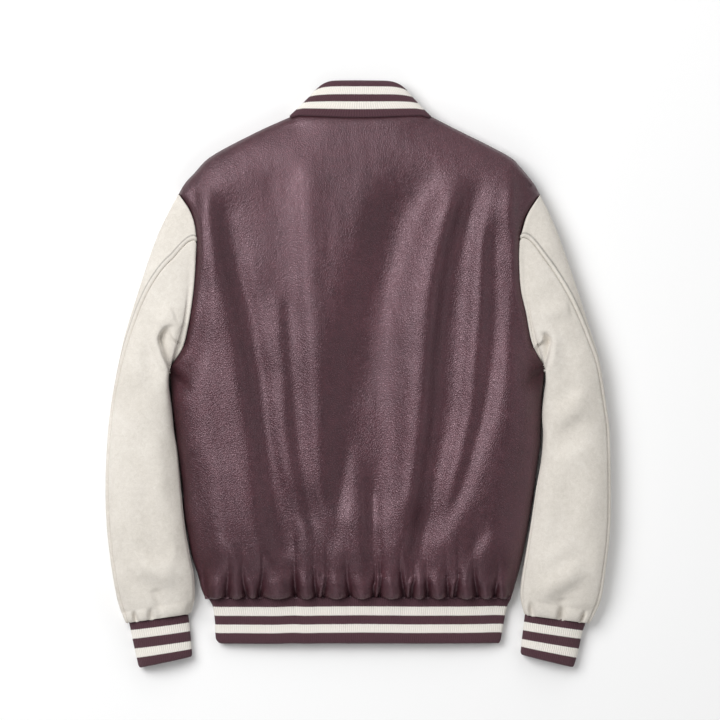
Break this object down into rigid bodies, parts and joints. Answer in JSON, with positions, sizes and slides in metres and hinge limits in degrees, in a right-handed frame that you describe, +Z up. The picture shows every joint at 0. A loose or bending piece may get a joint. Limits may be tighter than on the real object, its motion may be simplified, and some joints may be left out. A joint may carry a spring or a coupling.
{
  "type": "varsity jacket",
  "caption": "Varsity jacket lying flat on its front: leather body, wool sleeves, and striped rib-knit collar, cuffs and waistband.",
  "frame": {"origin": "middle of the bounding box at the surface the jacket lies on", "axes": "+Z up from that surface, towards the back of the jacket; +Y towards the collar; +X towards the wearer's right sleeve"},
  "size_m": [0.6576, 0.764, 0.0589],
  "materials": {
    "leather": "fine pebbled grain, semi-gloss, dark mauve",
    "wool": "felted wool, matt, cream",
    "rib": "rib knit, dark mauve with cream stripes",
    "snap": "painted dark mauve, satin"
  },
  "bodies": {
    "root": {"back": "leather", "front_left": "leather", "front_right": "leather", "sleeve_left_top": "wool", "sleeve_left_under": "wool", "sleeve_right_top": "wool", "sleeve_right_under": "wool", "cuff_left": "rib", "cuff_right": "rib", "waistband": "rib", "collar": "rib", "snap_1": "snap", "snap_2": "snap", "snap_3": "snap", "snap_4": "snap", "snap_5": "snap", "snap_6": "snap", "snap_7": "snap"}
  },
  "joints": []
}
